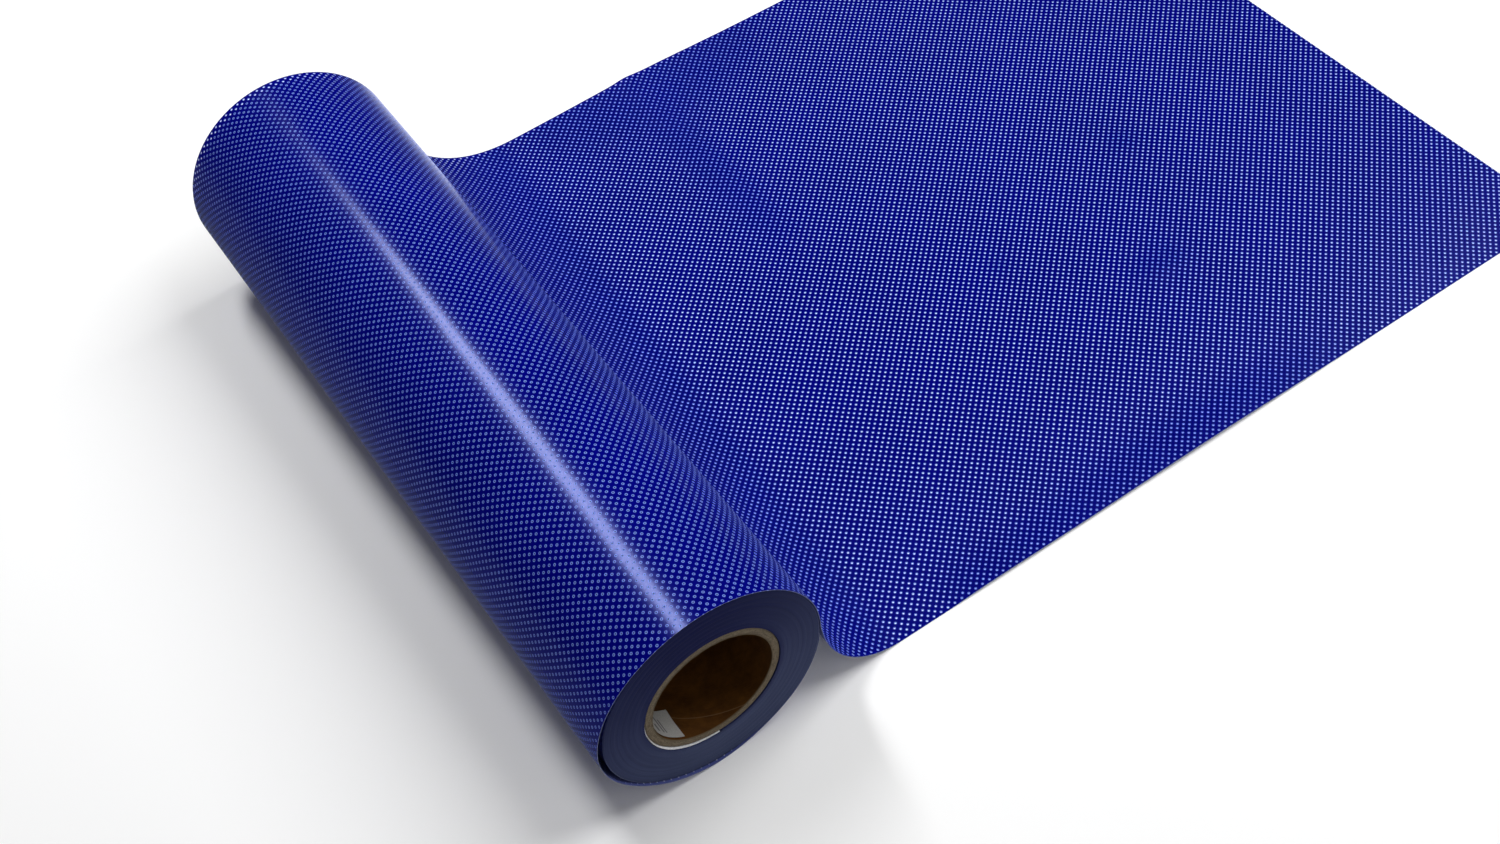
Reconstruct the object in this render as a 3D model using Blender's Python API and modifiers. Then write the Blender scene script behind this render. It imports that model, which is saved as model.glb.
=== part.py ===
"""A roll of perforated sign vinyl on a three-inch cardboard core, with one length of film pulled out.

Metres, +Z up. The roll's axis runs along Y. The film leaves the roll on its +X side, drops in an
S-curve and lies flat on Z = 0. The origin is on that plane, under the middle of the whole object.
"""

from math import cos, pi, radians, sin

import bmesh
import bpy

# Driving dimensions.
ROLL_WIDTH = 0.5213          # width of the film and length of the roll
CORE_BORE_RADIUS = 0.0381    # a standard three-inch core
LINER_THICKNESS = 0.0004     # kraft ply that lines the core
CORE_OUTER_RADIUS = 0.0429
CORE_INSET = 0.0005          # the core's ends lie this far inside the film's edges
PACK_RADIUS = 0.0689         # tight winding, without the last loose lap
FILM_THICKNESS = 0.0004      # vinyl and its release liner together
SHEET_REACH = 0.665          # from the roll's axis to the cut end of the pulled-out film
GAP = 0.0003                 # clearance between neighbouring solids
CORE_EDGE = 0.0002           # eased edge at the core's ends
LINER_EDGE = 0.0001

# All angles are in degrees round the roll's axis, 0 at +X and 90 at the top.

# Starter strip: a paper wedge between the core and the first lap.
STRIP_START = 190.0
STRIP_SWOLLEN = 232.0        # full thickness from here
STRIP_EASES = 234.0          # it starts to thin again here, and is cut off before it has
STRIP_END = 268.0
STRIP_RUN_OUT = 288.0
STRIP_THIN = 0.0004
STRIP_THICK = 0.0017
STRIP_CLEARANCE = 1.0        # degrees between the strip's ends and the film that steps over it

# Label inside the bore, near the -Y end.
LABEL_START = 196.0
LABEL_END = 235.5
LABEL_DEPTH = 0.0028         # from the film's edge to the label
LABEL_WIDTH = 0.0200
LABEL_THICKNESS = 0.0002

# Last lap. It hugs the pack underneath and stands off it where it has come loose.
LAP_END_ANGLE = 350.0        # where the modelled lap ends, tucked under the film that leaves
LAP_LOOSE = 0.0042           # largest gap between the lap and the pack
LAP_SNUG = 0.00025           # extra gap over the top at the -Y end
LAP_DRIFT = 0.0026           # how far the loose lap has slid along the axis, towards -Y
DRIFT_RETURN = 0.85          # share of the slide that it has lost again under the roll

# Where the last lap leaves and rejoins the pack, as the start and end of a smooth change.
NEAR_LIFTS = (105.0, 180.0)  # at the -Y end
NEAR_SETTLES = (186.0, 236.0)
SNUG_CLOSES = (180.0, 240.0)
FAR_SETTLES = (200.0, 258.0)  # at the +Y end
LAP_SLIDES = (70.0, 215.0)
LAP_RETURNS = (258.0, 300.0)

# S-curve between the roll and the flat sheet, at the -Y and the +Y edge.
LANDING_NEAR = 0.123         # from the roll's axis to where the film lies flat
LANDING_FAR = 0.155
DROP_HANDLE = 0.58           # Bezier handle length over the curve's width or height

# Mesh resolution.
ROUND_STEPS = 120
LAP_STEP = 5.0               # degrees
DROP_STEPS = 14
SHEET_STEPS = 6
WIDTH_STEPS = 6
STRIP_STEPS = 26
BORE_STRIP_STEPS = 30        # round the winding's bore, over the strip and clear of it
BORE_CLEAR_STEPS = 72
LABEL_STEPS = 12
MERGE_DISTANCE = 0.00005

LAP_CLEAR_RADIUS = PACK_RADIUS + GAP + FILM_THICKNESS / 2
AXIS_HEIGHT = LAP_CLEAR_RADIUS + FILM_THICKNESS / 2
LAP_REACH = LAP_CLEAR_RADIUS + LAP_LOOSE + FILM_THICKNESS / 2
AXIS_X = (LAP_REACH - SHEET_REACH) / 2
MIDDLE_Y = LAP_DRIFT / 2
PACK_BORE_RADIUS = CORE_OUTER_RADIUS + GAP
CORE_LENGTH = ROLL_WIDTH - 2 * CORE_INSET


def clear_scene():
    for old in list(bpy.data.objects):
        bpy.data.objects.remove(old)


def make_collection(name):
    collection = bpy.data.collections.new(name)
    bpy.context.scene.collection.children.link(collection)
    return collection


def make_material(name, colour, roughness):
    material = bpy.data.materials.new(name)
    material.use_nodes = True
    shader = material.node_tree.nodes["Principled BSDF"]
    shader.inputs["Base Color"].default_value = (*colour, 1.0)
    shader.inputs["Roughness"].default_value = roughness
    shader.inputs["Metallic"].default_value = 0.0
    return material


def place_on_axis(obj, collection, material):
    """Puts an object that was built round its own Z on the roll's axis."""
    obj.location = (AXIS_X, MIDDLE_Y, AXIS_HEIGHT)
    obj.rotation_euler = (pi / 2, 0.0, 0.0)
    obj.data.materials.append(material)
    collection.objects.link(obj)


def polar(radius, degrees):
    return radius * cos(radians(degrees)), radius * sin(radians(degrees))


def spread(start, end, steps):
    """Even values from start to end, both included."""
    return [start + (end - start) * i / steps for i in range(steps + 1)]


def smooth_step(value, start, end):
    t = min(max((value - start) / (end - start), 0.0), 1.0)
    return t * t * (3.0 - 2.0 * t)


def turned_ring(name, inner, outer, length, edge, collection, material):
    """A tube turned from its section, with its end edges eased by edge."""
    half = length / 2
    section = [
        (outer - edge, half),
        (outer, half - edge),
        (outer, edge - half),
        (outer - edge, -half),
        (inner + edge, -half),
        (inner, edge - half),
        (inner, half - edge),
        (inner + edge, half),
    ]
    mesh = bpy.data.meshes.new(name)
    points = [(radius, 0.0, height) for radius, height in section]
    count = len(points)
    mesh.from_pydata(points, [(i, (i + 1) % count) for i in range(count)], [])
    obj = bpy.data.objects.new(name, mesh)
    screw = obj.modifiers.new("Turn", "SCREW")
    screw.axis = "Z"
    screw.angle = 2 * pi
    screw.steps = ROUND_STEPS
    screw.render_steps = ROUND_STEPS
    screw.use_merge_vertices = True
    screw.merge_threshold = MERGE_DISTANCE
    screw.use_smooth_shade = True
    place_on_axis(obj, collection, material)
    return obj


def extruded_outlines(name, outlines, length, collection, material):
    """A solid with the same section all along the axis. Any outline inside the first is a hole."""
    curve = bpy.data.curves.new(name, "CURVE")
    curve.dimensions = "2D"
    curve.fill_mode = "BOTH"
    curve.extrude = length / 2
    for outline in outlines:
        spline = curve.splines.new("POLY")
        spline.points.add(len(outline) - 1)
        for point, (x, y) in zip(spline.points, outline):
            point.co = (x, y, 0.0, 1.0)
        spline.use_cyclic_u = True
    obj = bpy.data.objects.new(name, curve)
    place_on_axis(obj, collection, material)
    return obj


def strip_thickness(degrees):
    """The wedge swells from its thin start and is cut off square at its end."""
    swollen = smooth_step(degrees, STRIP_START, STRIP_SWOLLEN)
    eased = smooth_step(degrees, STRIP_EASES, STRIP_RUN_OUT)
    return STRIP_THIN + (STRIP_THICK - STRIP_THIN) * swollen * (1.0 - eased)


def strip_outline():
    angles = spread(STRIP_START, STRIP_END, STRIP_STEPS)
    inner = [polar(PACK_BORE_RADIUS, angle) for angle in angles]
    outer = [polar(PACK_BORE_RADIUS + strip_thickness(angle), angle) for angle in angles]
    return inner + outer[::-1]


def pack_bore_outline():
    """The first lap follows the core and steps over the starter strip."""
    start = STRIP_START - STRIP_CLEARANCE
    end = STRIP_END + STRIP_CLEARANCE
    outline = []
    for angle in spread(start, end, BORE_STRIP_STEPS):
        thickness = strip_thickness(min(max(angle, STRIP_START), STRIP_END))
        outline.append(polar(PACK_BORE_RADIUS + thickness + GAP, angle))
    for angle in spread(end, start + 360.0, BORE_CLEAR_STEPS):
        outline.append(polar(PACK_BORE_RADIUS, angle))
    return outline


def circle_outline(radius):
    return [polar(radius, 360.0 * i / ROUND_STEPS) for i in range(ROUND_STEPS)]


def make_label(collection, material):
    """A paper label that follows the bore: a bent sheet, thickened inwards."""
    radius = CORE_BORE_RADIUS - GAP
    near = ROLL_WIDTH / 2 - LABEL_DEPTH
    mesh = bpy.data.meshes.new("core_label")
    shape = bmesh.new()
    columns = []
    for angle in spread(LABEL_START, LABEL_END, LABEL_STEPS):
        x, y = polar(radius, angle)
        columns.append([shape.verts.new((x, y, z)) for z in (near, near - LABEL_WIDTH)])
    for first, second in zip(columns, columns[1:]):
        shape.faces.new((first[0], first[1], second[1], second[0]))
    bmesh.ops.recalc_face_normals(shape, faces=shape.faces)
    shape.to_mesh(mesh)
    shape.free()
    obj = bpy.data.objects.new("core_label", mesh)
    paper = obj.modifiers.new("Paper", "SOLIDIFY")
    paper.thickness = LABEL_THICKNESS
    paper.offset = label_side(mesh)
    place_on_axis(obj, collection, material)
    return obj


def label_side(mesh):
    """Solidify's offset that grows the label towards the axis, whichever way its faces point."""
    face = mesh.polygons[0]
    points_out = face.normal.x * face.center.x + face.normal.y * face.center.y > 0.0
    return -1.0 if points_out else 1.0


def lap_radius(degrees, across):
    """Middle of the last lap's thickness. across runs from 0 at the -Y edge to 1 at +Y."""
    lifted = smooth_step(degrees, *NEAR_LIFTS) * (1.0 - smooth_step(degrees, *NEAR_SETTLES))
    snug = LAP_SNUG * (1.0 - smooth_step(degrees, *SNUG_CLOSES))
    near = LAP_LOOSE * lifted + snug * (1.0 - lifted)
    far = LAP_LOOSE * (1.0 - smooth_step(degrees, *FAR_SETTLES))
    return LAP_CLEAR_RADIUS + near + (far - near) * across


def lap_drift(degrees):
    """How far the last lap has slid towards -Y."""
    slid = LAP_DRIFT * smooth_step(degrees, *LAP_SLIDES)
    return slid * (1.0 - DRIFT_RETURN * smooth_step(degrees, *LAP_RETURNS))


def bezier(start, handle, end_handle, end, t):
    s = 1.0 - t
    weights = (s**3, 3 * s * s * t, 3 * s * t * t, t**3)
    points = (start, handle, end_handle, end)
    return tuple(sum(w * p[i] for w, p in zip(weights, points)) for i in range(2))


def web_section(across):
    """The film's path from the cut end to the lap's inner end, as (x, z, drift) points."""
    floor = FILM_THICKNESS / 2
    landing = LANDING_NEAR + (LANDING_FAR - LANDING_NEAR) * across
    leave = (lap_radius(0.0, across), AXIS_HEIGHT)
    drop = leave[1] - floor
    run = landing - leave[0]
    path = []
    for i in range(SHEET_STEPS):
        path.append((SHEET_REACH + (landing - SHEET_REACH) * i / SHEET_STEPS, floor, 0.0))
    for i in range(DROP_STEPS):
        x, z = bezier(
            (landing, floor),
            (landing - DROP_HANDLE * run, floor),
            (leave[0], leave[1] - DROP_HANDLE * drop),
            leave,
            i / DROP_STEPS,
        )
        path.append((x, z, 0.0))
    for i in range(round(LAP_END_ANGLE / LAP_STEP) + 1):
        angle = i * LAP_STEP
        x, height = polar(lap_radius(angle, across), angle)
        path.append((x, AXIS_HEIGHT + height, lap_drift(angle)))
    return path


def make_web(collection, material):
    """One sheet, lofted between the unlike sections at its two edges, then thickened."""
    mesh = bpy.data.meshes.new("film_web")
    shape = bmesh.new()
    rows = []
    for j in range(WIDTH_STEPS + 1):
        across = j / WIDTH_STEPS
        y = ROLL_WIDTH * (across - 0.5)
        rows.append([shape.verts.new((x, y - drift, z)) for x, z, drift in web_section(across)])
    for near, far in zip(rows, rows[1:]):
        for i in range(len(near) - 1):
            shape.faces.new((near[i], far[i], far[i + 1], near[i + 1]))
    shape.to_mesh(mesh)
    shape.free()
    mesh.shade_smooth()
    obj = bpy.data.objects.new("film_web", mesh)
    obj.location = (AXIS_X, MIDDLE_Y, 0.0)
    film = obj.modifiers.new("Film", "SOLIDIFY")
    film.thickness = FILM_THICKNESS
    film.offset = 0.0
    film.use_even_offset = True
    mesh.materials.append(material)
    collection.objects.link(obj)
    return obj


def main():
    clear_scene()
    parts = make_collection("sign_vinyl_roll")
    chipboard = make_material("chipboard", (0.16, 0.13, 0.095), 0.9)
    kraft = make_material("kraft", (0.11, 0.05, 0.016), 0.8)
    paper = make_material("paper", (0.50, 0.50, 0.48), 0.6)
    film_edges = make_material("film_edges", (0.03, 0.04, 0.09), 0.45)
    blue_film = make_material("blue_film", (0.004, 0.006, 0.30), 0.3)

    liner_outer = CORE_BORE_RADIUS + LINER_THICKNESS
    core_inner = liner_outer + GAP
    turned_ring("core_tube", core_inner, CORE_OUTER_RADIUS, CORE_LENGTH, CORE_EDGE, parts, chipboard)
    turned_ring("core_liner", CORE_BORE_RADIUS, liner_outer, CORE_LENGTH, LINER_EDGE, parts, kraft)
    make_label(parts, paper)
    extruded_outlines("starter_strip", [strip_outline()], CORE_LENGTH, parts, paper)
    pack_outlines = [circle_outline(PACK_RADIUS), pack_bore_outline()]
    extruded_outlines("film_pack", pack_outlines, ROLL_WIDTH, parts, film_edges)
    make_web(parts, blue_film)


main()
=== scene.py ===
from math import cos, pi, radians, sin

import bmesh
import bpy
import numpy as np
from mathutils import Matrix, Quaternion, Vector


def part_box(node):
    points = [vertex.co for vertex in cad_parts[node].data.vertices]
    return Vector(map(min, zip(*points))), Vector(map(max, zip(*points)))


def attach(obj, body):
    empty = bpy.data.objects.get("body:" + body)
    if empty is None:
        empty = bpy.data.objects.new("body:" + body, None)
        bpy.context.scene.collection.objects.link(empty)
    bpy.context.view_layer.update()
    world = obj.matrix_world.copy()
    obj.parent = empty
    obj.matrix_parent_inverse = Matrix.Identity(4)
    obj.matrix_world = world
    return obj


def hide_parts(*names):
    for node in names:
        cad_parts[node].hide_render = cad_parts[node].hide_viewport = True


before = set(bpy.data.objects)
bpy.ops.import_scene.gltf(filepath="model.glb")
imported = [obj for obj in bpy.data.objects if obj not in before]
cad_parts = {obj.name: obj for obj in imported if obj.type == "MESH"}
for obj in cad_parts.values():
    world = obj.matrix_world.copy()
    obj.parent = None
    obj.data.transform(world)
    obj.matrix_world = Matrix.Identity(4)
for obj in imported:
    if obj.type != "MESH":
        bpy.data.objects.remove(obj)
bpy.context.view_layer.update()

# Film, metres. The lap lies where the CAD film does, and the visible sheet is thinner.
FILM_THICKNESS = 0.0004
SHEET_THICKNESS = 0.00026
LAP_CLEARANCE = 0.0003
WINDING_SWELL = 0.00015
LAP_PITCH = 0.00036

# Loose lap. Each pair of angles, in degrees from +X, spans one change round the roll.
LAP_END_ANGLE = 350.0
LAP_LOOSE = 0.0038
LAP_SNUG = 0.00025
LAP_DRIFT = 0.0016
NEAR_LIFTS = (105.0, 180.0)
NEAR_SETTLES = (176.0, 228.0)
SNUG_CLOSES = (180.0, 240.0)
FAR_SETTLES = (200.0, 258.0)
LAP_SLIDES = (70.0, 215.0)
LAP_RETURNS = (258.0, 300.0)

# Drop from the roll to the table: landing places from the axis, and the pull of the curve's handles.
LANDING_NEAR = 0.123
LANDING_FAR = 0.155
DROP_HANDLE = 0.58

# Where the flat sheet lifts at an edge: height, x from the axis, its spread, side, spread in y.
EDGE_HUMPS = (
    (0.0022, 0.360, 0.075, -1.0, 0.020),
    (0.0014, 0.200, 0.090, -1.0, 0.016),
    (0.0024, 0.265, 0.065, 1.0, 0.034),
)
# Small humps away from the edges: height, x from the axis, its spread, y, its spread.
INNER_HUMPS = (
    (0.0009, 0.495, 0.009, -0.024, 0.007),
    (0.0009, 0.436, 0.016, -0.130, 0.011),
    (0.0006, 0.352, 0.006, -0.064, 0.006),
)
# A ripple across the far half: height, x from the axis, its spread, and the y over which it grows.
RIPPLE = (0.0013, 0.256, 0.009)
RIPPLE_GROWS = (0.03, 0.12)
LIFT_EASE = 0.03

# Core, starter strip and label, metres and degrees.
PIECE_GAP = 0.0003
LINER_FIT = 0.00003
LINER_THICKNESS = 0.0004
STRIP_LEAD = 172.0
STRIP_START = 190.0
STRIP_END = 268.0
STRIP_TIP = 0.00008
STRIP_THIN = 0.0004
STRIP_THICK = 0.0017
STRIP_RISES = (190.0, 232.0)
STRIP_FALLS = (234.0, 288.0)
STRIP_FIT = 0.00002
LABEL_START = 196.0
LABEL_END = 235.5
LABEL_DEPTH = 0.0028
LABEL_WIDTH = 0.0200
LABEL_THICKNESS = 0.00018
LABEL_CURL = 0.0008
CURL_SHARES = (1.55, 2.0)

# Plies of the core's board, and the lining's spiral seam.
PLY_PITCH = 0.0009
SEAM_PITCH = 0.100
SEAM_PHASE = 0.8333

# Left, right, low and high of each grey bar, as shares of the label's length and width.
LABEL_BARS = (
    (0.24, 0.34, 0.16, 0.44),
    (0.44, 0.49, 0.16, 0.78),
    (0.54, 0.58, 0.16, 0.66),
)

# Perforation: one hole at each corner and centre of a cell, the first row inside the edge.
CELL_ALONG = 0.00513
CELL_ACROSS = 0.00500
FIRST_ROW = 0.0019
HOLE_RADIUS = 0.00050
RING_RADIUS = 0.00090
EDGE_BLUR = 0.00005
FILM_GLINT = (0.41, 0.49, 1.0)

# Mesh resolution.
SHEET_ROWS = 112
DROP_ROWS = 36
LAP_ROWS = 140
WIDTH_COLUMNS = 100
WINDING_STEPS = 240
WINDING_RINGS = 60
CORE_STEPS = 180
STRIP_STEPS = 60
STRIP_ROWS = 30
LABEL_GRID = (28, 14)
SHARP_ANGLE = 40.0

# Camera, from the middle of the roll: metres, radians and millimetres.
CAMERA_OFFSET = (-0.2193, -0.7668, 0.9558)
CAMERA_AZIMUTH = -0.4816
CAMERA_ELEVATION = 0.8827
CAMERA_ROLL = -0.1492
CAMERA_LENS = 46.6
SENSOR_WIDTH = 36.0

# Radiance of the dim room as the film mirrors it, of the neutral fill that falls on matt
# surfaces, and of the table top as the film mirrors it.
ROOM_LIGHT = 0.022
AMBIENT_LIGHT = 0.10
TABLE_LIGHT = 0.14
BRIGHT_TABLE_LIGHT = 1.30
ROOM_COLOUR = (0.62, 0.68, 1.0)

# Pale backdrop, and the distances over which the floor fades into it.
BACKDROP = (0.86, 0.86, 0.87)
FLOOR_FADES = (1.0, 2.6)
FLOOR_REACH = 7.0
FLOOR_DROP = 0.0001

PACK_LOW, PACK_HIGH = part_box("film_pack")
CORE_LOW, CORE_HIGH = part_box("core_tube")
LINER_LOW, LINER_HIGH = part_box("core_liner")
WEB_LOW, WEB_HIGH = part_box("film_web")

AXIS = (PACK_LOW + PACK_HIGH) / 2
PACK_RADIUS = (PACK_HIGH.x - PACK_LOW.x) / 2
ROLL_WIDTH = PACK_HIGH.y - PACK_LOW.y
CORE_OUTER = (CORE_HIGH.x - CORE_LOW.x) / 2
CORE_LENGTH = CORE_HIGH.y - CORE_LOW.y
LINER_OUTER = (LINER_HIGH.x - LINER_LOW.x) / 2
BORE_RADIUS = LINER_OUTER - LINER_THICKNESS
CORE_INNER = LINER_OUTER + LINER_FIT
PACK_BORE = CORE_OUTER + PIECE_GAP
SHEET_REACH = WEB_HIGH.x - AXIS.x
LAP_RADIUS = PACK_RADIUS + LAP_CLEARANCE + FILM_THICKNESS / 2
WINDING_RADIUS = PACK_RADIUS + WINDING_SWELL


def smooth_step(value, start, end):
    t = np.clip((value - start) / (end - start), 0.0, 1.0)
    return t * t * (3.0 - 2.0 * t)


def swell(value, centre, width):
    """A soft hump, 1 at the centre, that fades within about width on each side."""
    return np.exp(-(((value - centre) / width) ** 2))


# ---------------------------------------------------------------- mesh helpers


def add_object(name, vertices, faces, body, replaced=(), materials=()):
    """A closed piece, facing out and smooth, with sharp cut edges."""
    mesh = bpy.data.meshes.new(name)
    mesh.from_pydata([tuple(v) for v in vertices], [], faces)
    mesh.validate()
    shape = bmesh.new()
    shape.from_mesh(mesh)
    bmesh.ops.recalc_face_normals(shape, faces=shape.faces)
    shape.to_mesh(mesh)
    shape.free()
    mesh.shade_smooth()
    mesh.set_sharp_from_angle(angle=radians(SHARP_ANGLE))
    for material in materials:
        mesh.materials.append(material)
    obj = bpy.data.objects.new(name, mesh)
    bpy.context.scene.collection.objects.link(obj)
    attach(obj, body)
    if replaced:
        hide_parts(*replaced)
    return obj


def slab_faces(rows, columns):
    """Faces of a slab between two grids of points: the upper side, the lower side and the rim."""
    count = rows * columns
    upper = []
    for i in range(rows - 1):
        for j in range(columns - 1):
            a = i * columns + j
            b = a + columns
            upper.append((a, b, b + 1, a + 1))
    lower = [tuple(count + k for k in reversed(face)) for face in upper]
    border = list(range(columns))
    border += [i * columns + columns - 1 for i in range(1, rows)]
    border += [(rows - 1) * columns + j for j in range(columns - 2, -1, -1)]
    border += [i * columns for i in range(rows - 2, 0, -1)]
    following = border[1:] + border[:1]
    rim = [(b, a, a + count, b + count) for a, b in zip(border, following)]
    return upper, lower, rim


def loop_faces(steps, count, closed):
    """Quads between successive loops of count points each. closed joins the last to the first."""
    faces = []
    for i in range(steps):
        a = i * count
        b = ((i + 1) % steps if closed else i + 1) * count
        for j in range(count):
            k = (j + 1) % count
            faces.append((a + j, a + k, b + k, b + j))
    return faces


def on_roll(angle, loop):
    """World points of (radius, y) pairs at an angle in degrees round the roll's axis."""
    c, s = cos(radians(angle)), sin(radians(angle))
    return [(AXIS.x + r * c, AXIS.y + y, AXIS.z + r * s) for r, y in loop]


def closed_turning(section, steps):
    """Points and faces of a closed section swept once round the roll's axis.

    section(angle) gives (radius, y) pairs, the same number at each angle.
    """
    points = []
    for i in range(steps):
        angle = 360.0 * i / steps
        loop = section(angle)
        points += on_roll(angle, loop)
    return points, loop_faces(steps, len(loop), closed=True)


def ring_loop(inner, outer, radii, near, far, skin_rows, bore_rows):
    """Closed section of a tube: near end, outer wall, far end and bore."""
    skin = np.linspace(near[-1], far[-1], skin_rows)[1:-1]
    bore = np.linspace(far[0], near[0], bore_rows)[1:-1]
    return (
        list(zip(radii, near))
        + [(outer, y) for y in skin]
        + list(zip(radii[::-1], far[::-1]))
        + [(inner, y) for y in bore]
    )


def give_uv(obj, name, per_vertex):
    """Stores one pair of numbers per vertex as a UV layer."""
    mesh = obj.data
    layer = mesh.uv_layers.new(name=name)
    index = np.zeros(len(mesh.loops), dtype=np.int32)
    mesh.loops.foreach_get("vertex_index", index)
    layer.data.foreach_set("uv", np.asarray(per_vertex, dtype=np.float32)[index].ravel())


# ---------------------------------------------------------------- node helpers


def is_socket(value):
    return hasattr(value, "is_output")


def colour(value):
    return value if is_socket(value) else (*value, 1.0)


class Nodes:
    """Short ways to build one material's node tree."""

    def __init__(self, name):
        self.material = bpy.data.materials.new(name)
        self.material.use_nodes = True
        self.tree = self.material.node_tree
        self.shader = self.tree.nodes["Principled BSDF"]

    def add(self, kind, **settings):
        node = self.tree.nodes.new(kind)
        for key, value in settings.items():
            setattr(node, key, value)
        return node

    def feed(self, socket, value):
        if is_socket(value):
            self.tree.links.new(value, socket)
        else:
            socket.default_value = value

    def math(self, operation, *values):
        node = self.add("ShaderNodeMath", operation=operation)
        for socket, value in zip(node.inputs, values):
            self.feed(socket, value)
        return node.outputs[0]

    def vector(self, operation, *values):
        node = self.add("ShaderNodeVectorMath", operation=operation)
        for socket, value in zip(node.inputs, values):
            self.feed(socket, value)
        return node.outputs["Value" if operation == "LENGTH" else "Vector"]

    def ramp(self, value, low, high, start=0.0, end=1.0, smooth=True):
        """value mapped from low..high to start..end, clamped."""
        kind = "SMOOTHSTEP" if smooth else "LINEAR"
        node = self.add("ShaderNodeMapRange", interpolation_type=kind)
        names = ("Value", "From Min", "From Max", "To Min", "To Max")
        for name, setting in zip(names, (value, low, high, start, end)):
            self.feed(node.inputs[name], setting)
        return node.outputs["Result"]

    def noise(self, vector, scale, detail=3.0, roughness=0.55):
        node = self.add("ShaderNodeTexNoise")
        self.feed(node.inputs["Vector"], vector)
        node.inputs["Scale"].default_value = scale
        node.inputs["Detail"].default_value = detail
        node.inputs["Roughness"].default_value = roughness
        return node.outputs["Fac"]

    def mix(self, factor, first, second):
        node = self.add("ShaderNodeMix", data_type="RGBA")
        self.feed(node.inputs[0], factor)
        self.feed(node.inputs[6], colour(first))
        self.feed(node.inputs[7], colour(second))
        return node.outputs[2]

    def blend(self, *parts):
        """Sum of sockets, each given as a pair with its weight."""
        total = None
        for socket, weight in parts:
            part = self.math("MULTIPLY", socket, weight)
            total = part if total is None else self.math("ADD", total, part)
        return total

    def bump(self, height, distance, strength=1.0, normal=None):
        node = self.add("ShaderNodeBump")
        node.inputs["Strength"].default_value = strength
        node.inputs["Distance"].default_value = distance
        self.feed(node.inputs["Height"], height)
        if normal is not None:
            self.feed(node.inputs["Normal"], normal)
        return node.outputs["Normal"]

    def uv(self, name):
        return self.add("ShaderNodeUVMap", uv_map=name).outputs["UV"]

    def place(self):
        """Object coordinates, in metres."""
        return self.add("ShaderNodeTexCoord").outputs["Object"]

    def split(self, vector):
        node = self.add("ShaderNodeSeparateXYZ")
        self.feed(node.inputs[0], vector)
        return node.outputs

    def joined(self, *values):
        node = self.add("ShaderNodeCombineXYZ")
        for socket, value in zip(node.inputs, values):
            self.feed(socket, value)
        return node.outputs[0]

    def polar(self):
        """(radius, turn from -0.5 to 0.5, y from the roll's middle) of a point on the roll."""
        x, y, z = self.split(self.vector("SUBTRACT", self.place(), tuple(AXIS)))
        square = self.math("ADD", self.math("MULTIPLY", x, x), self.math("MULTIPLY", z, z))
        turn = self.math("DIVIDE", self.math("ARCTAN2", z, x), 2 * pi)
        return self.math("SQRT", square), turn, y

    def set(self, **values):
        for name, value in values.items():
            self.feed(self.shader.inputs[name.replace("_", " ")], value)


# ---------------------------------------------------------------- materials


def lattice_distance(n, place):
    """Distance in metres from the nearest hole's middle."""
    cell = (CELL_ALONG, CELL_ACROSS, 1.0)
    size = (CELL_ALONG, CELL_ACROSS, 0.0)
    half = (0.5, 0.5, 0.5)
    inset = n.vector("SUBTRACT", place, (0.0, FIRST_ROW, 0.0))
    counted = n.vector("DIVIDE", inset, cell)
    near = []
    for shifted in (counted, n.vector("ADD", counted, half)):
        inside = n.vector("SUBTRACT", n.vector("FRACTION", shifted), half)
        near.append(n.vector("LENGTH", n.vector("MULTIPLY", inside, size)))
    return n.math("MINIMUM", near[0], near[1])


def film_material(name, field, ring, roughness, hole=None):
    """Punched film: a coloured field, a pale burr round each hole, and the hole.

    The holes are open, or painted where a hole colour is given: that colour is painted shade,
    standing for the shaded layer seen through the hole.
    """
    n = Nodes(name)
    place = n.uv("film")
    distance = lattice_distance(n, place)
    solid = n.ramp(distance, HOLE_RADIUS - EDGE_BLUR, HOLE_RADIUS + EDGE_BLUR)
    burr = n.ramp(distance, RING_RADIUS - 3 * EDGE_BLUR, RING_RADIUS + 2 * EDGE_BLUR, 1.0, 0.0)
    uneven = n.ramp(n.noise(place, 260.0, 2.0), 0.2, 0.8, 0.82, 1.0)
    cloudy = n.ramp(n.noise(place, 14.0, 4.0), 0.3, 0.7)
    base = n.mix(cloudy, field, tuple(1.16 * c for c in field))
    raw_edge = n.ramp(distance, HOLE_RADIUS + 0.00008, HOLE_RADIUS + 0.00022, 0.45, 0.0)
    raw_colour = tuple(min(2.4 * c, 1.0) for c in ring)
    painted = n.mix(n.math("MULTIPLY", burr, uneven), base, n.mix(raw_edge, ring, raw_colour))
    # A given hole colour is painted shade in place of the shaded layer under the hole.
    if hole:
        painted = n.mix(solid, hole, painted)
    else:
        n.set(Alpha=solid)
    fine = n.math("MULTIPLY_ADD", n.noise(place, 900.0, 2.0), 0.05, roughness - 0.025)
    wave = n.bump(n.noise(place, 9.0, 2.0, 0.4), 0.0006)
    n.set(
        Base_Color=painted,
        Roughness=n.math("ADD", fine, n.math("MULTIPLY", burr, 0.12)),
        Normal=n.bump(burr, 0.00002, 0.6, wave),
        Specular_IOR_Level=0.45,
        Specular_Tint=(*FILM_GLINT, 1.0),
    )
    return n.material


def cut_edge_material():
    """The film's cut edge, where its pale liner shows."""
    n = Nodes("film_cut_edge")
    grain = n.noise(n.place(), 700.0, 3.0)
    base = n.mix(n.ramp(grain, 0.3, 0.7), (0.11, 0.13, 0.22), (0.22, 0.25, 0.36))
    n.set(Base_Color=base, Roughness=0.5, Normal=n.bump(grain, 0.00005, 0.5))
    return n.material


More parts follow.
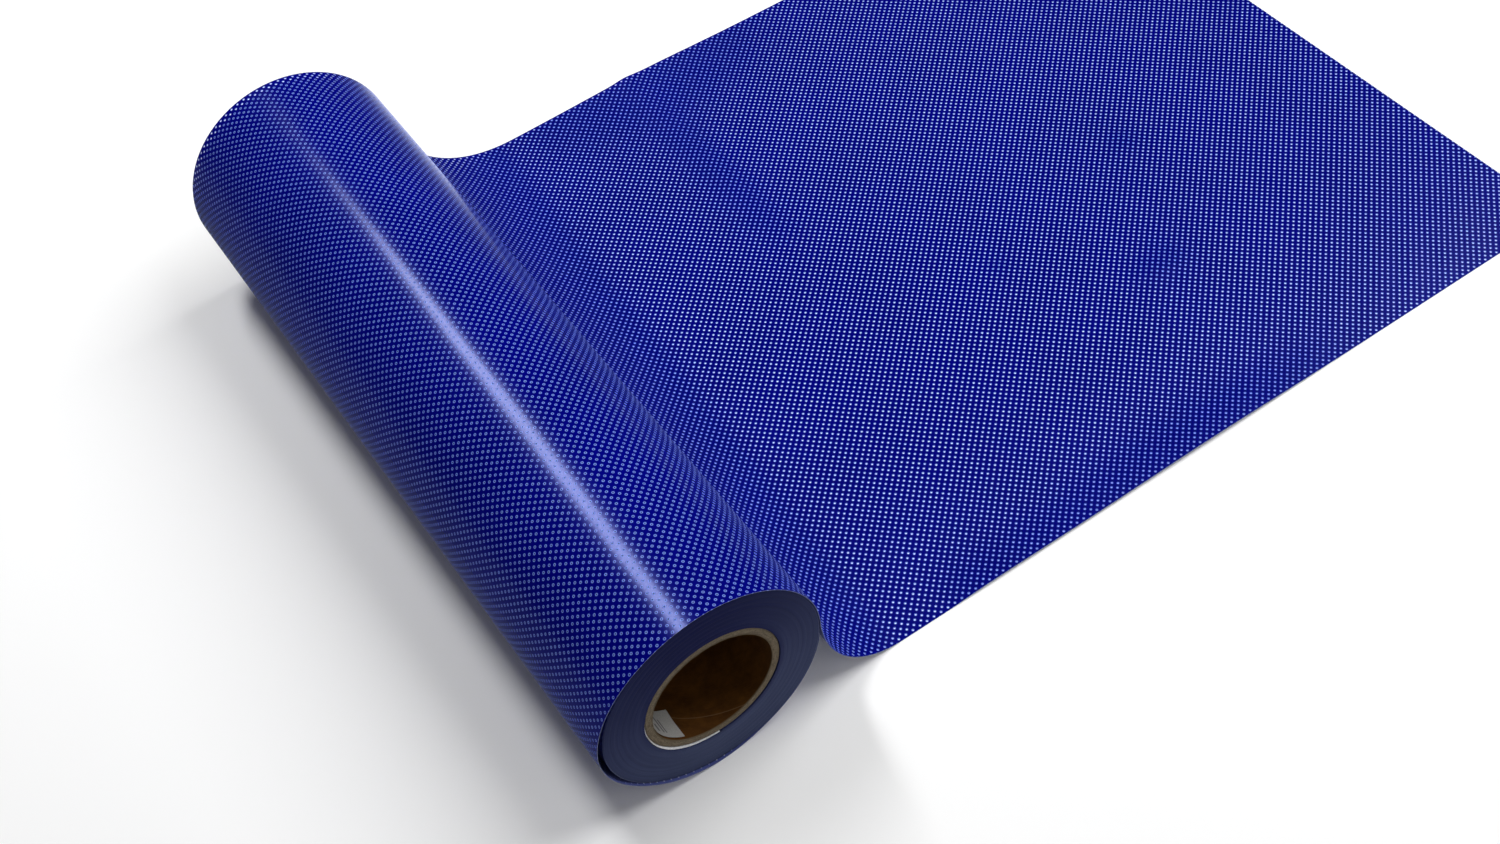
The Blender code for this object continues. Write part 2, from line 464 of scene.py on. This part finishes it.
def winding_end_material():
    """The edges of some seventy laps: fine spiral lines in lighter and darker bands.

    Painted light and shade: the face is painted darker and bluer at the top and paler and greyer at
    the bottom, darker next to the core, with a painted highlight along the lower part of its outer
    edge.
    """
    n = Nodes("winding_edges")
    radius, turn, depth = n.polar()
    lap = n.math("SUBTRACT", n.math("DIVIDE", radius, LAP_PITCH), turn)
    line = n.noise(n.joined(lap, 0.0, depth), 1.0, 1.0)
    band = n.noise(n.joined(n.math("MULTIPLY", lap, 0.12), 0.0, depth), 1.0, 3.0)
    patch = n.noise(n.place(), 28.0, 3.0)
    tone = n.ramp(n.blend((line, 0.35), (band, 0.45), (patch, 0.2)), 0.38, 0.62)
    # Painted shade at the top and painted light at the bottom: the laps run from dark navy above to
    # paler grey-blue below.
    painted_shade_top = n.mix(tone, (0.0020, 0.0035, 0.036), (0.0045, 0.0065, 0.050))
    painted_light_bottom = n.mix(tone, (0.036, 0.046, 0.097), (0.051, 0.064, 0.127))
    height = n.math("SINE", n.math("MULTIPLY", turn, 2 * pi))
    base = n.mix(n.ramp(height, 1.0, -1.0, smooth=False), painted_shade_top, painted_light_bottom)
    # Painted shade: the laps are painted darker navy within a few millimetres of the core.
    inner = n.ramp(radius, PACK_BORE, PACK_BORE + 0.0035, 0.5, 0.0)
    base = n.mix(inner, base, (0.002, 0.003, 0.045))
    # Painted highlight: a pale line along the outer edge of the winding, over its lower part only.
    rim = n.ramp(radius, WINDING_RADIUS - 0.0006, WINDING_RADIUS - 0.0003)
    rim = n.math("MULTIPLY", rim, n.ramp(height, 0.2, -0.6, 0.0, 0.8))
    n.set(
        Base_Color=n.mix(rim, base, (0.17, 0.19, 0.30)),
        Roughness=n.ramp(line, 0.3, 0.7, 0.46, 0.62),
        Normal=n.bump(line, 0.00012, 0.7),
        Specular_IOR_Level=0.05,
    )
    return n.material


def chipboard_material():
    """Grey-brown spiral-wound board: rough fibres and the lines between its plies."""
    n = Nodes("core_chipboard")
    radius, turn, depth = n.polar()
    along = n.joined(n.math("MULTIPLY", radius, 2600.0), n.math("MULTIPLY", turn, 60.0), depth)
    fibre = n.noise(along, 1.0, 5.0, 0.7)
    speck = n.noise(n.place(), 900.0, 3.0, 0.7)
    within = n.math("FRACT", n.math("DIVIDE", radius, PLY_PITCH))
    ply = n.math("ABSOLUTE", n.math("SUBTRACT", within, 0.5))
    tone = n.blend((fibre, 0.6), (speck, 0.4))
    base = n.mix(n.ramp(tone, 0.36, 0.64), (0.082, 0.063, 0.040), (0.195, 0.156, 0.106))
    n.set(
        Base_Color=n.mix(n.ramp(ply, 0.40, 0.5, 0.0, 0.5), base, (0.06, 0.045, 0.03)),
        Roughness=0.92,
        Normal=n.bump(tone, 0.0006, 0.9),
        Specular_IOR_Level=0.2,
    )
    return n.material


def kraft_material():
    """Brown kraft paper inside the bore, with its spiral butt seam and long fibres."""
    n = Nodes("kraft_lining")
    radius, turn, depth = n.polar()
    depth_in = n.math("ADD", depth, ROLL_WIDTH / 2)
    helix = n.math("ADD", n.math("DIVIDE", depth_in, SEAM_PITCH), turn)
    past = n.math("FRACT", n.math("SUBTRACT", helix, SEAM_PHASE - 0.5))
    away = n.math("ABSOLUTE", n.math("MULTIPLY", n.math("SUBTRACT", past, 0.5), SEAM_PITCH))
    seam = n.ramp(away, 0.0001, 0.0005, 1.0, 0.0)
    along = n.joined(n.math("MULTIPLY", helix, 500.0), n.math("MULTIPLY", turn, 30.0), 0.0)
    fibre = n.noise(along, 1.0, 5.0, 0.65)
    mottled = n.noise(n.place(), 120.0, 4.0, 0.6)
    tone = n.blend((fibre, 0.5), (mottled, 0.5))
    base = n.mix(n.ramp(tone, 0.35, 0.65), (0.046, 0.0160, 0.0021), (0.091, 0.0350, 0.0047))
    base = n.mix(n.math("MULTIPLY", seam, 0.4), base, (0.20, 0.12, 0.06))
    half = CORE_LENGTH / 2
    cut_end = n.ramp(n.math("ABSOLUTE", depth), half - 0.0012, half - 0.0004)
    n.set(
        Base_Color=n.mix(cut_end, base, (0.12, 0.09, 0.055)),
        Roughness=0.72,
        Normal=n.bump(n.math("SUBTRACT", tone, seam), 0.0002, 0.5),
        Specular_IOR_Level=0.1,
    )
    return n.material


def label_material():
    """White label paper with generic grey bars in place of print."""
    n = Nodes("label_paper")
    x, y, _ = n.split(n.uv("label"))
    ink = None
    for left, right, low, high in LABEL_BARS:
        wide = n.ramp(x, left, left + 0.01)
        wide = n.math("MULTIPLY", wide, n.ramp(x, right, right + 0.01, 1.0, 0.0))
        tall = n.ramp(y, low, low + 0.02)
        tall = n.math("MULTIPLY", tall, n.ramp(y, high, high + 0.02, 1.0, 0.0))
        bar = n.math("MULTIPLY", wide, tall)
        ink = bar if ink is None else n.math("MAXIMUM", ink, bar)
    grain = n.noise(n.place(), 1500.0, 3.0, 0.6)
    base = n.mix(n.ramp(grain, 0.3, 0.7), (0.30, 0.295, 0.285), (0.38, 0.375, 0.36))
    n.set(
        Base_Color=n.mix(n.math("MULTIPLY", ink, 0.85), base, (0.05, 0.05, 0.06)),
        Roughness=0.6,
        Normal=n.bump(grain, 0.00006, 0.4),
    )
    return n.material


def strip_material():
    """White paper, with its grain along the roll."""
    n = Nodes("starter_paper")
    grain = n.noise(n.vector("MULTIPLY", n.place(), (1.0, 0.2, 1.0)), 700.0, 4.0, 0.65)
    base = n.mix(n.ramp(grain, 0.3, 0.7), (0.62, 0.63, 0.65), (0.82, 0.83, 0.85))
    n.set(Base_Color=base, Roughness=0.65, Normal=n.bump(grain, 0.0001, 0.5))
    return n.material


def floor_material():
    """Pale matt floor, which takes on the backdrop's own light far from the roll."""
    n = Nodes("floor")
    place = n.place()
    base = n.mix(n.noise(place, 3.0, 3.0), (0.91, 0.91, 0.91), (0.93, 0.93, 0.93))
    far = n.ramp(n.vector("LENGTH", place), *FLOOR_FADES)
    n.set(
        Base_Color=n.mix(far, base, (0.0, 0.0, 0.0)),
        Roughness=0.85,
        Specular_IOR_Level=0.1,
        Emission_Color=(*BACKDROP, 1.0),
        Emission_Strength=far,
    )
    return n.material


# ---------------------------------------------------------------- film web


def lap_radius(degrees, across):
    """Middle of the loose lap's thickness. across runs from 0 at the -Y edge to 1 at +Y."""
    lifted = smooth_step(degrees, *NEAR_LIFTS) * (1.0 - smooth_step(degrees, *NEAR_SETTLES))
    near = LAP_SNUG * (1.0 - smooth_step(degrees, *SNUG_CLOSES)) * (1.0 - lifted)
    near = near + LAP_LOOSE * lifted
    far = LAP_LOOSE * (1.0 - smooth_step(degrees, *FAR_SETTLES))
    return LAP_RADIUS + near + (far - near) * across


def lap_drift(degrees):
    """How far the loose lap has slid towards -Y."""
    slid = smooth_step(degrees, *LAP_SLIDES)
    return LAP_DRIFT * slid * (1.0 - smooth_step(degrees, *LAP_RETURNS))


def sheet_lift(x, y):
    """How far the flat film stands off the table. x is from the axis, y from the film's middle."""
    lift = np.zeros_like(x)
    for height, x_middle, x_spread, side, y_spread in EDGE_HUMPS:
        edge = side * ROLL_WIDTH / 2
        lift = lift + height * swell(y, edge, y_spread) * swell(x, x_middle, x_spread)
    lift = lift + RIPPLE[0] * swell(x, *RIPPLE[1:]) * smooth_step(y, *RIPPLE_GROWS)
    for height, x_middle, x_spread, y_middle, y_spread in INNER_HUMPS:
        lift = lift + height * swell(x, x_middle, x_spread) * swell(y, y_middle, y_spread)
    ease_in = smooth_step(x, LANDING_FAR, LANDING_FAR + LIFT_EASE)
    ease_out = 1.0 - smooth_step(x, SHEET_REACH - LIFT_EASE, SHEET_REACH)
    return lift * ease_in * ease_out


def flat_line(y, floor, landing):
    """The sheet on the table, from its cut end to the landing."""
    x = np.linspace(SHEET_REACH, landing, SHEET_ROWS, endpoint=False)
    return np.stack([x, np.full_like(x, y), floor + sheet_lift(x, y)], axis=1)


def drop_line(y, floor, landing, leave):
    """The S-curve from the landing up to the place where the film leaves the roll."""
    start = np.array((landing, floor))
    low = start - (DROP_HANDLE * (landing - leave[0]), 0.0)
    high = leave - (0.0, DROP_HANDLE * (leave[1] - floor))
    t = np.linspace(0.0, 1.0, DROP_ROWS, endpoint=False)[:, None]
    s = 1.0 - t
    curve = s**3 * start + 3 * s * s * t * low + 3 * s * t * t * high + t**3 * leave
    return np.stack([curve[:, 0], np.full(DROP_ROWS, y), curve[:, 1]], axis=1)


def lap_line(y, across):
    """The last lap, once round the winding."""
    angle = np.linspace(0.0, LAP_END_ANGLE, LAP_ROWS)
    radius = lap_radius(angle, across)
    turn = np.radians(angle)
    x = radius * np.cos(turn)
    z = AXIS.z + radius * np.sin(turn)
    return np.stack([x, y - lap_drift(angle), z], axis=1)


def web_line(across):
    """Middle of the film's thickness from the cut end to the lap's end, as (x, y, z) rows."""
    y = ROLL_WIDTH * (across - 0.5)
    floor = SHEET_THICKNESS / 2
    landing = LANDING_NEAR + (LANDING_FAR - LANDING_NEAR) * across
    leave = np.array((lap_radius(0.0, across), AXIS.z))
    flat = flat_line(y, floor, landing)
    return np.concatenate([flat, drop_line(y, floor, landing, leave), lap_line(y, across)])


def along_film(lines):
    """Length along the film from its cut end, for each row and column."""
    steps = np.linalg.norm(np.diff(lines, axis=1), axis=2)
    return np.concatenate([np.zeros((len(lines), 1)), np.cumsum(steps, axis=1)], axis=1)


def grid_normals(lines):
    """Unit normals of the grid, on the printed side of the film."""
    normal = np.cross(np.gradient(lines, axis=1), np.gradient(lines, axis=0))
    normal = normal / np.linalg.norm(normal, axis=2, keepdims=True)
    return normal if normal[WIDTH_COLUMNS // 2, 0, 2] > 0 else -normal


def make_web(face, back, edge):
    """The film web and its length from the cut end to the lap's end."""
    shares = np.linspace(0.0, 1.0, WIDTH_COLUMNS)
    lines = np.stack([web_line(share) for share in shares])
    offset = grid_normals(lines) * SHEET_THICKNESS / 2
    origin = np.array((AXIS.x, AXIS.y, 0.0))
    points = np.concatenate([(origin + lines + side).reshape(-1, 3) for side in (offset, -offset)])
    rows, columns = lines.shape[:2]
    sides = slab_faces(rows, columns)
    faces = [quad for side in sides for quad in side]
    materials = (face, back, edge)
    web = add_object("film_sheet", points, faces, "web", ["film_web"], materials)
    measured = along_film(lines)
    uv = np.stack([measured.ravel(), np.repeat(shares * ROLL_WIDTH, columns)], axis=1)
    give_uv(web, "film", np.concatenate([uv, uv]))
    index = np.repeat(np.arange(3, dtype=np.int32), [len(side) for side in sides])
    web.data.polygons.foreach_set("material_index", index)
    return web, float(measured[:, -1].mean())


# ---------------------------------------------------------------- winding


def strip_thickness(angle):
    """The starter strip swells from its thin start and is cut off square at its end."""
    rise = smooth_step(angle, *STRIP_RISES)
    fall = smooth_step(angle, *STRIP_FALLS)
    thin = STRIP_TIP + (STRIP_THIN - STRIP_TIP) * smooth_step(angle, STRIP_LEAD, STRIP_START)
    return thin + (STRIP_THICK - STRIP_THIN) * rise * (1.0 - fall)


def pack_bore(angle):
    """Inner radius of the winding, which steps over the starter strip."""
    if STRIP_LEAD - 1.0 <= angle <= STRIP_END + 1.0:
        inside = min(max(angle, STRIP_LEAD), STRIP_END)
        return PACK_BORE + float(strip_thickness(inside)) + PIECE_GAP
    return PACK_BORE


def telescoping(share, angle, seed):
    """How far the lap edges lie inside the winding's end plane, in metres."""
    ridge = np.sin(share * 47.0 + seed) * 0.5 + np.sin(share * 113.0 + 2.1 * seed) * 0.3
    lean = np.sin(radians(angle) + seed + share * 2.0)
    return 0.00010 + 0.00006 * ridge + 0.00004 * lean


def winding_section(angle):
    inner = pack_bore(angle)
    half = ROLL_WIDTH / 2
    share = np.linspace(0.0, 1.0, WINDING_RINGS)
    radii = inner + (WINDING_RADIUS - inner) * share
    rounded = 0.00025 * (1.0 - smooth_step(WINDING_RADIUS - radii, 0.0, 0.0006)) ** 2
    near = -half + telescoping(share, angle, 0.7) + rounded
    far = half - telescoping(share, angle, 2.9) - rounded
    return ring_loop(inner, WINDING_RADIUS, radii, near, far, 24, 8)


def make_winding(ends, skin):
    points, faces = closed_turning(winding_section, WINDING_STEPS)
    materials = (ends, skin)
    obj = add_object(
        "film_winding", points, faces, "roll", ["film_pack"], materials
    )
    place = np.array(points) - np.array(AXIS)
    radius = np.hypot(place[:, 0], place[:, 2])
    arc = np.arctan2(place[:, 2], place[:, 0]) * PACK_RADIUS
    give_uv(obj, "film", np.stack([arc, place[:, 1]], axis=1))
    lowest = [min(radius[list(polygon.vertices)]) for polygon in obj.data.polygons]
    index = (np.array(lowest) > WINDING_RADIUS - 1e-5).astype(np.int32)
    obj.data.polygons.foreach_set("material_index", index)


# ---------------------------------------------------------------- core pieces


def core_section(angle):
    half = CORE_LENGTH / 2
    share = np.linspace(0.0, 1.0, 12)
    radii = CORE_INNER + (CORE_OUTER - CORE_INNER) * share
    rough = np.sin(angle * 0.37 + share * 9.0) * 0.5 + np.sin(angle * 1.31 + share * 23.0) * 0.5
    torn = 0.00012 + 0.00008 * rough
    rounded = 0.00035 * (swell(share, 0.0, 0.10) + swell(share, 1.0, 0.10))
    inset = torn + rounded
    return ring_loop(CORE_INNER, CORE_OUTER, radii, inset - half, half - inset, 16, 16)


def make_core(material):
    points, faces = closed_turning(core_section, CORE_STEPS)
    add_object(
        "core_tube_board", points, faces, "roll", ["core_tube"], (material,)
    )


def liner_section(angle):
    frayed = 0.00015 + 0.00012 * sin(angle * 0.53) * sin(angle * 0.171)
    end = CORE_LENGTH / 2 - frayed
    ys = np.linspace(-end, end, 40)
    return [(LINER_OUTER, y) for y in ys] + [(BORE_RADIUS, y) for y in ys[::-1]]


def make_liner(material):
    points, faces = closed_turning(liner_section, CORE_STEPS)
    add_object("core_lining", points, faces, "roll", ["core_liner"], (material,))


def make_label(material):
    """A paper label stuck inside the bore near the -Y end, one corner slightly lifted."""
    columns, rows = LABEL_GRID
    shares = [(a, b) for a in np.linspace(0, 1, columns) for b in np.linspace(0, 1, rows)]
    points = []
    for side in (0.0, LABEL_THICKNESS):
        for a, b in shares:
            lifted = LABEL_CURL * smooth_step(a + b, *CURL_SHARES)
            radius = BORE_RADIUS - PIECE_GAP - side - lifted
            y = LABEL_DEPTH + LABEL_WIDTH * b - ROLL_WIDTH / 2
            angle = LABEL_START + (LABEL_END - LABEL_START) * a
            points += on_roll(angle, [(radius, y)])
    faces = [quad for side in slab_faces(columns, rows) for quad in side]
    obj = add_object(
        "bore_label", points, faces, "roll", ["core_label"], (material,)
    )
    give_uv(obj, "label", shares + shares)


def make_strip(material):
    """The paper wedge between the core and the first lap."""
    points = []
    for angle in np.linspace(STRIP_LEAD, STRIP_END, STRIP_STEPS + 1):
        inner = PACK_BORE + STRIP_FIT
        outer = PACK_BORE + float(strip_thickness(angle)) - STRIP_FIT
        end = CORE_LENGTH / 2 - 0.0002 - 0.00005 * sin(angle * 0.3)
        ys = np.linspace(-end, end, STRIP_ROWS)
        points += on_roll(angle, [(inner, y) for y in ys] + [(outer, y) for y in ys[::-1]])
    count = 2 * STRIP_ROWS
    faces = loop_faces(STRIP_STEPS, count, closed=False)
    for first in (0, STRIP_STEPS * count):
        for j in range(STRIP_ROWS - 1):
            a, b = first + j, first + count - 1 - j
            faces.append((a, a + 1, b - 1, b))
    add_object(
        "starter_wedge", points, faces, "roll", ["starter_strip"], (material,)
    )


# ---------------------------------------------------------------- studio


def area_light(name, place, aim, size, radiance, shape="RECTANGLE", spin=0.0):
    """A soft light of the given radiance, both sizes in metres, turned by spin about its beam."""
    data = bpy.data.lights.new(name, "AREA")
    data.shape = shape
    data.size, data.size_y = size
    share = pi / 4 if shape == "ELLIPSE" else 1.0
    data.energy = radiance * pi * size[0] * size[1] * share
    obj = bpy.data.objects.new(name, data)
    obj.location = place
    obj.rotation_mode = "QUATERNION"
    facing = (Vector(aim) - Vector(place)).to_track_quat("-Z", "Y")
    obj.rotation_quaternion = facing @ Quaternion((0.0, 0.0, 1.0), spin)
    obj.visible_camera = False
    bpy.context.scene.collection.objects.link(obj)


def make_lights():
    axis = Vector(AXIS)
    key = axis + Vector((1.6, -0.25, 1.95))
    over = axis + Vector((-0.01, 0.86, 1.45))
    under = axis + Vector((-0.01, 0.85, 0.0))
    front = axis + Vector((0.2, -2.2, 1.9))
    area_light("key_softbox", key, axis + Vector((0.2, 0.0, 0.0)), (1.7, 1.7), 5.9)
    area_light("streak_softbox", over, under, (0.27, 1.35), 18.3, "ELLIPSE", -0.26)
    area_light("front_fill", front, axis, (2.2, 2.2), 1.1)


def make_floor():
    mesh = bpy.data.meshes.new("floor")
    signs = ((-1, -1), (1, -1), (1, 1), (-1, 1))
    corners = [(FLOOR_REACH * x, FLOOR_REACH * y, 0.0) for x, y in signs]
    mesh.from_pydata(corners, [], [(0, 1, 2, 3)])
    mesh.materials.append(floor_material())
    obj = bpy.data.objects.new("floor", mesh)
    obj.location.z = -FLOOR_DROP
    obj.visible_glossy = False
    bpy.context.scene.collection.objects.link(obj)


def world_light(tree):
    """Strength by direction: the dim room, the table below it, and its bright part at the right."""

    def ramp(value, low, high, peak):
        node = tree.nodes.new("ShaderNodeMapRange")
        node.interpolation_type = "SMOOTHSTEP"
        node.inputs["From Min"].default_value = low
        node.inputs["From Max"].default_value = high
        node.inputs["To Max"].default_value = peak
        tree.links.new(value, node.inputs["Value"])
        return node.outputs["Result"]

    def combine(operation, first, second):
        node = tree.nodes.new("ShaderNodeMath")
        node.operation = operation
        tree.links.new(first, node.inputs[0])
        tree.links.new(second, node.inputs[1])
        return node.outputs[0]

    parts = tree.nodes.new("ShaderNodeSeparateXYZ")
    direction = tree.nodes.new("ShaderNodeTexCoord").outputs["Generated"]
    tree.links.new(direction, parts.inputs[0])
    x, _, z = parts.outputs
    room = ramp(z, -3.0, -2.0, ROOM_LIGHT)
    table = ramp(z, -0.02, -0.14, TABLE_LIGHT)
    below = ramp(z, -0.21, -0.64, BRIGHT_TABLE_LIGHT)
    bright = combine("MULTIPLY", below, ramp(x, 0.08, 0.30, 1.0))
    return combine("ADD", room, combine("ADD", table, bright))


def make_world():
    """A dim room to mirrored rays, an even fill to diffuse ones and a pale backdrop to the camera.

    Mirrored rays pass through the floor, and the world stands in for the table there.
    """
    world = bpy.data.worlds.new("studio")
    world.use_nodes = True
    tree = world.node_tree
    shade = tree.nodes["Background"]
    shade.inputs["Color"].default_value = (*ROOM_COLOUR, 1.0)
    tree.links.new(world_light(tree), shade.inputs["Strength"])
    backdrop = tree.nodes.new("ShaderNodeBackground")
    backdrop.inputs["Color"].default_value = (*BACKDROP, 1.0)
    ambient = tree.nodes.new("ShaderNodeBackground")
    ambient.inputs["Strength"].default_value = AMBIENT_LIGHT
    seen = tree.nodes.new("ShaderNodeLightPath")
    result = shade.outputs[0]
    for ray, other in (("Is Diffuse Ray", ambient), ("Is Camera Ray", backdrop)):
        mixed = tree.nodes.new("ShaderNodeMixShader")
        tree.links.new(seen.outputs[ray], mixed.inputs[0])
        tree.links.new(result, mixed.inputs[1])
        tree.links.new(other.outputs[0], mixed.inputs[2])
        result = mixed.outputs[0]
    tree.links.new(result, tree.nodes["World Output"].inputs[0])
    bpy.context.scene.world = world


def make_camera():
    data = bpy.data.cameras.new("camera")
    data.sensor_fit = "HORIZONTAL"
    data.sensor_width = SENSOR_WIDTH
    data.lens = CAMERA_LENS
    data.clip_start = 0.01
    data.clip_end = 100.0
    camera = bpy.data.objects.new("camera", data)
    az, el, roll = CAMERA_AZIMUTH, CAMERA_ELEVATION, CAMERA_ROLL
    back = Vector((sin(az) * cos(el), -cos(az) * cos(el), sin(el)))
    right = (-back).cross(Vector((0.0, 0.0, 1.0))).normalized()
    up = right.cross(-back)
    side = cos(roll) * right + sin(roll) * up
    top = -sin(roll) * right + cos(roll) * up
    turn = Matrix((side, top, back)).transposed()
    place = Vector((AXIS.x, AXIS.y, 0.0)) + Vector(CAMERA_OFFSET)
    camera.matrix_world = Matrix.Translation(place) @ turn.to_4x4()
    bpy.context.scene.collection.objects.link(camera)
    bpy.context.scene.camera = camera


# ---------------------------------------------------------------- scene


def make_pieces():
    """The six visible pieces. Film colours are its field, then the burr round its holes."""
    face = film_material("blue_film_face", (0.0, 0.0002, 0.144), (0.145, 0.225, 0.82), 0.17)
    back = film_material("film_back", (0.050, 0.062, 0.19), (0.065, 0.085, 0.23), 0.5)
    # Painted shade: the winding's skin is the face film painted darker and its holes are painted
    # dark navy, for the shade under the loose lap.
    hole = (0.006, 0.009, 0.03)
    skin = film_material("winding_skin_painted_shade", (0.004, 0.006, 0.085), (0.06, 0.085, 0.24), 0.35, hole)
    web, length = make_web(face, back, cut_edge_material())
    make_winding(winding_end_material(), skin)
    make_core(chipboard_material())
    make_liner(kraft_material())
    make_label(label_material())
    make_strip(strip_material())


make_pieces()
make_floor()
make_world()
make_lights()
make_camera()
bpy.context.scene.view_settings.view_transform = "Standard"
